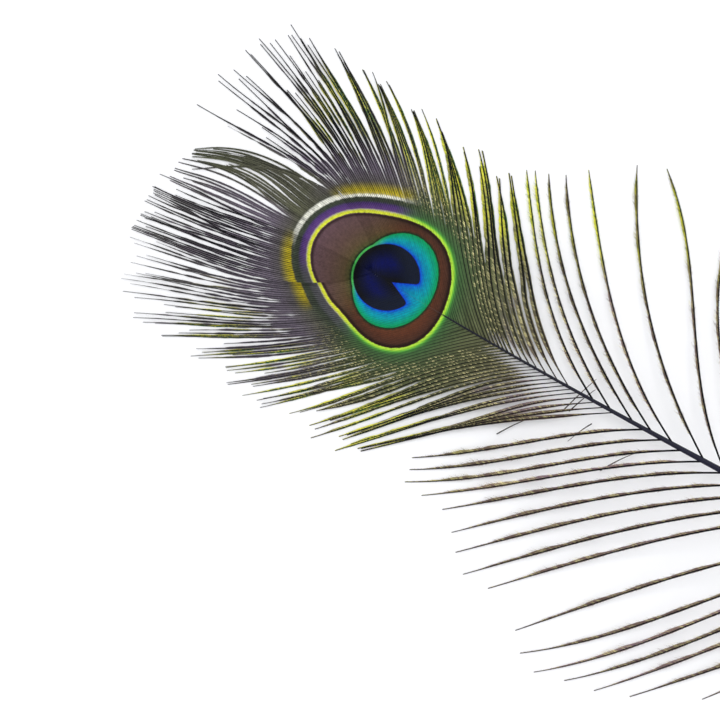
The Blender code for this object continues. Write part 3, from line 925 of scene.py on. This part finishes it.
print("plumage colour:", len(plumage.nodes), "nodes")

# %% [markdown]
# The three kinds of barb share those colours, and differ in gloss: the zipped web of the eye is
# satin, the loose barbs are duller. A fine grain stands on them in relief. The shaft is dark
# horn that turns pale toward the quill, and it wears the eye's marks where it crosses them.

# %% Materials
def barb_material(name, dullness, relief):
    material = bpy.data.materials.new(name)
    material.use_nodes = True
    board = Board(material.node_tree)
    shader = material.node_tree.nodes["Principled BSDF"]
    look = board.use(plumage)
    place = board.place()
    board.wire(place, look.inputs["Place"])
    for label in ("Half", "Along", "Horn", "Reach", "Fleck", "Tone"):
        board.wire(board.value(label.lower()), look.inputs[label])
    board.wire(look.outputs["Colour"], shader.inputs["Base Color"])
    board.wire(board.math("ADD", look.outputs["Shine"], dullness), shader.inputs["Roughness"])
    shader.inputs["Specular IOR Level"].default_value = 0.1
    board.relief(board.noise(place, 4000.0, 1.0), relief, shader)
    return material


looks = {"eye_vane": barb_material("eye barb", 0.0, 0.35),
         "olive_vane": barb_material("olive barb", 0.12, 0.5),
         "loose_barb": barb_material("loose barb", 0.18, 0.5)}

horn = looks["shaft"] = bpy.data.materials.new("dark horn")
horn.use_nodes = True
board = Board(horn.node_tree)
shader = horn.node_tree.nodes["Principled BSDF"]
place = board.place()
px = board.apart(place)[0]
down = board.math("DIVIDE", board.math("SUBTRACT", px, float(EYE[0])), MM)
streak = board.noise(place, 260.0, 4.0)
tint = board.ramp(board.math("MULTIPLY_ADD", streak, 14.0, down),
                  [(0.0, (12, 20, 18)), (20.0, (12, 14, 24)), (120.0, (16, 16, 40)),
                   (160.0, (52, 42, 44)), (195.0, (120, 100, 78)), (225.0, (196, 182, 150)),
                   (245.0, (214, 204, 176))])
look = board.use(plumage)
board.wire(place, look.inputs["Place"])
look.inputs["Horn"].default_value = 1.0
tint = board.mix(board.ease(down, 15.0, 17.5), look.outputs["Colour"], tint)
board.wire(tint, shader.inputs["Base Color"])
board.wire(board.math("MULTIPLY_ADD", streak, 0.2, 0.24), shader.inputs["Roughness"])
shader.inputs["Specular IOR Level"].default_value = 0.22
board.relief(streak, 0.25, shader)
print("materials:", sorted(looks))

# %% [markdown]
# Each piece now takes the place of the plain solids that it stands for. The feather has no
# joints, so all of them ride on its one body.

# %% Fit the pieces to the frame
KINDS = {"shaft": "shaft", "olive_right": "olive_vane", "olive_left": "olive_vane",
         "loose_right": "loose_barb", "loose_left": "loose_barb"}
for key, piece in pieces.items():
    kind = KINDS.get(key, "eye_vane")
    piece.data.materials.clear()
    piece.data.materials.append(looks[kind])
    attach(piece, "root")
    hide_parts(*stands_for[key])
print("pieces:", {key: len(names) for key, names in stands_for.items()})

# %% [markdown]
# The table is a plain white sheet under an even, very soft light from all round, with one wide
# lamp above to give the horn a highlight. The camera looks straight down, beside the eye, and
# is turned so that the feather lies aslant.

# %% Table, light and camera
HORIZON, ZENITH_LOSS = 1.84, -1.4
FRAME_WIDTH, LENS, SENSOR, TURN = 187.2 * MM, 100.0, 36.0, math.radians(29.6)

bpy.ops.object.select_all(action="DESELECT")
bpy.ops.mesh.primitive_plane_add(size=6.0, location=(0.0, 0.0, 0.0))
table = bpy.context.object
table.name = "table"
paper = bpy.data.materials.new("white table")
paper.use_nodes = True
shader = paper.node_tree.nodes["Principled BSDF"]
shader.inputs["Base Color"].default_value = (0.93, 0.93, 0.94, 1.0)
shader.inputs["Roughness"].default_value = 0.9
table.data.materials.append(paper)

bpy.ops.object.light_add(type="AREA", location=(-0.25, 0.35, 1.1))
lamp = bpy.context.object
lamp.name = "soft_lamp"
lamp.data.size = 0.9
lamp.data.energy = 5.5
aim = -lamp.location
lamp.rotation_mode = "QUATERNION"
lamp.rotation_quaternion = aim.to_track_quat("-Z", "Y")

world = bpy.data.worlds.new("soft light")
bpy.context.scene.world = world
world.use_nodes = True
sky = Board(world.node_tree)
up = sky.apart(world.node_tree.nodes.new("ShaderNodeTexCoord").outputs["Generated"])[2]
background = world.node_tree.nodes["Background"]
background.inputs["Color"].default_value = (0.97, 0.98, 1.0, 1.0)
strength = sky.math("MAXIMUM", sky.math("MULTIPLY_ADD", up, ZENITH_LOSS, HORIZON), 0.0)
sky.wire(strength, background.inputs["Strength"])

bpy.ops.object.camera_add()
camera = bpy.context.object
camera.data.lens, camera.data.sensor_width = LENS, SENSOR
camera.location = EYE + [3.7 * MM, -21.8 * MM, FRAME_WIDTH * LENS / SENSOR]
camera.rotation_euler = (0.0, 0.0, TURN)
bpy.context.scene.camera = camera
bpy.context.scene.view_settings.view_transform = "Standard"
bpy.context.scene.view_settings.look = "None"
